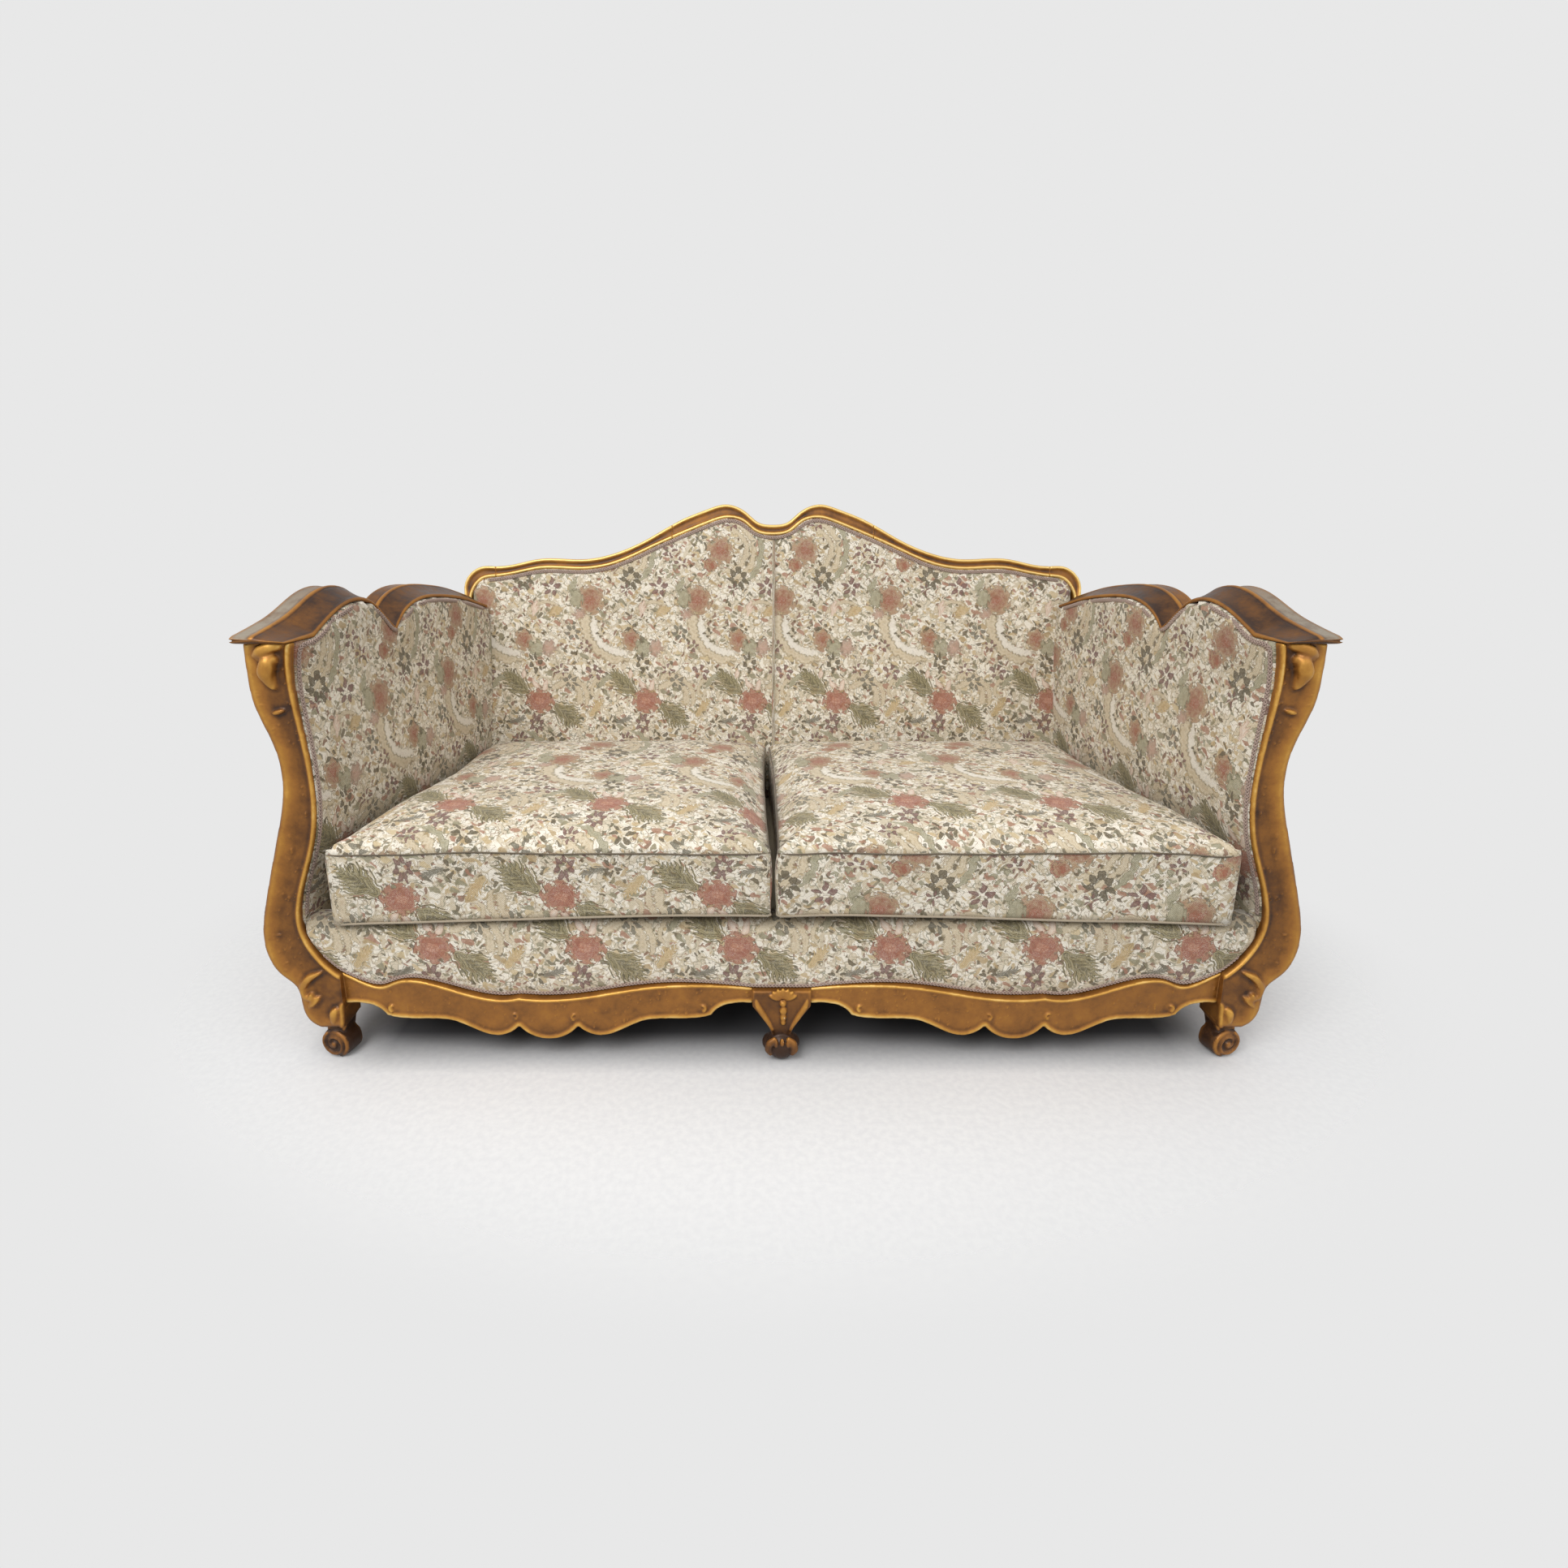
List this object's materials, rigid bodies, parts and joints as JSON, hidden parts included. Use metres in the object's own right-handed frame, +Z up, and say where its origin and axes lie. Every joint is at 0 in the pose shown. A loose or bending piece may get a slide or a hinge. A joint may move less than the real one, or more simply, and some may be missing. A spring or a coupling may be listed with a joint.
{
  "type": "cabriole sofa",
  "caption": "Two-seat cabriole sofa with a carved giltwood show frame, shaped crest and arms, sprung upholstered seat and loose box cushions.",
  "frame": {"origin": "on the floor, in the middle of the sofa's footprint box", "axes": "+X along the sofa's width to the right as seen from the front, +Y from the front to the back, +Z up"},
  "size_m": [1.8146, 0.8802, 0.9893],
  "materials": {
    "giltwood": "aged water gilding over gesso on carved beech",
    "beech": "sawn and unpolished",
    "floral_tapestry": "floral jacquard tapestry over hair and wadding",
    "deck_cloth": "plain cotton platform cloth over hair",
    "gimp_braid": "woven gimp braid",
    "jute": "jute webbing",
    "black_cambric": "thin black cambric",
    "spring_steel": "coppered spring wire",
    "screw_steel": "plain wood screws"
  },
  "bodies": {
    "frame": {"apron_left": "giltwood", "apron_right": "giltwood", "arm_rail_left": "giltwood", "arm_rail_right": "giltwood", "arm_tack_rail_left": "beech", "arm_tack_rail_right": "beech", "back_centre_muntin": "beech", "back_lower_rail": "beech", "back_post_left": "giltwood", "back_post_right": "giltwood", "back_webbing": "jute", "centre_leg": "giltwood", "corner_block_screws": "screw_steel", "corner_blocks": "beech", "crest_centre": "giltwood", "crest_corner_left": "giltwood", "crest_corner_right": "giltwood", "crest_side_left": "giltwood", "crest_side_right": "giltwood", "dust_cover": "black_cambric", "frame_dowels": "beech", "front_post_left": "giltwood", "front_post_right": "giltwood", "front_seat_rail": "beech", "gimp_arm_left": "gimp_braid", "gimp_arm_right": "gimp_braid", "gimp_back": "gimp_braid", "gimp_seat_front": "gimp_braid", "inside_arm_pad_left": "floral_tapestry", "inside_arm_pad_right": "floral_tapestry", "inside_back_pad": "floral_tapestry", "outside_arm_panel_left": "floral_tapestry", "outside_arm_panel_right": "floral_tapestry", "outside_back_panel": "floral_tapestry", "rear_seat_rail": "beech", "seat_centre_brace": "beech", "seat_deck": "deck_cloth", "seat_front_border": "floral_tapestry", "seat_springs": "spring_steel", "seat_webbing": "jute", "side_apron_left": "giltwood", "side_apron_right": "giltwood", "side_seat_rail_left": "beech", "side_seat_rail_right": "beech"},
    "cushion_left": {"seat_cushion_left": "floral_tapestry"},
    "cushion_right": {"seat_cushion_right": "floral_tapestry"}
  },
  "joints": [
    {"name": "cushion_left_lift", "type": "slide", "parent": "frame", "child": "cushion_left", "axis": [0, 0, 1], "range_m": [0, 0.6]},
    {"name": "cushion_right_lift", "type": "slide", "parent": "frame", "child": "cushion_right", "axis": [0, 0, 1], "range_m": [0, 0.6]}
  ]
}
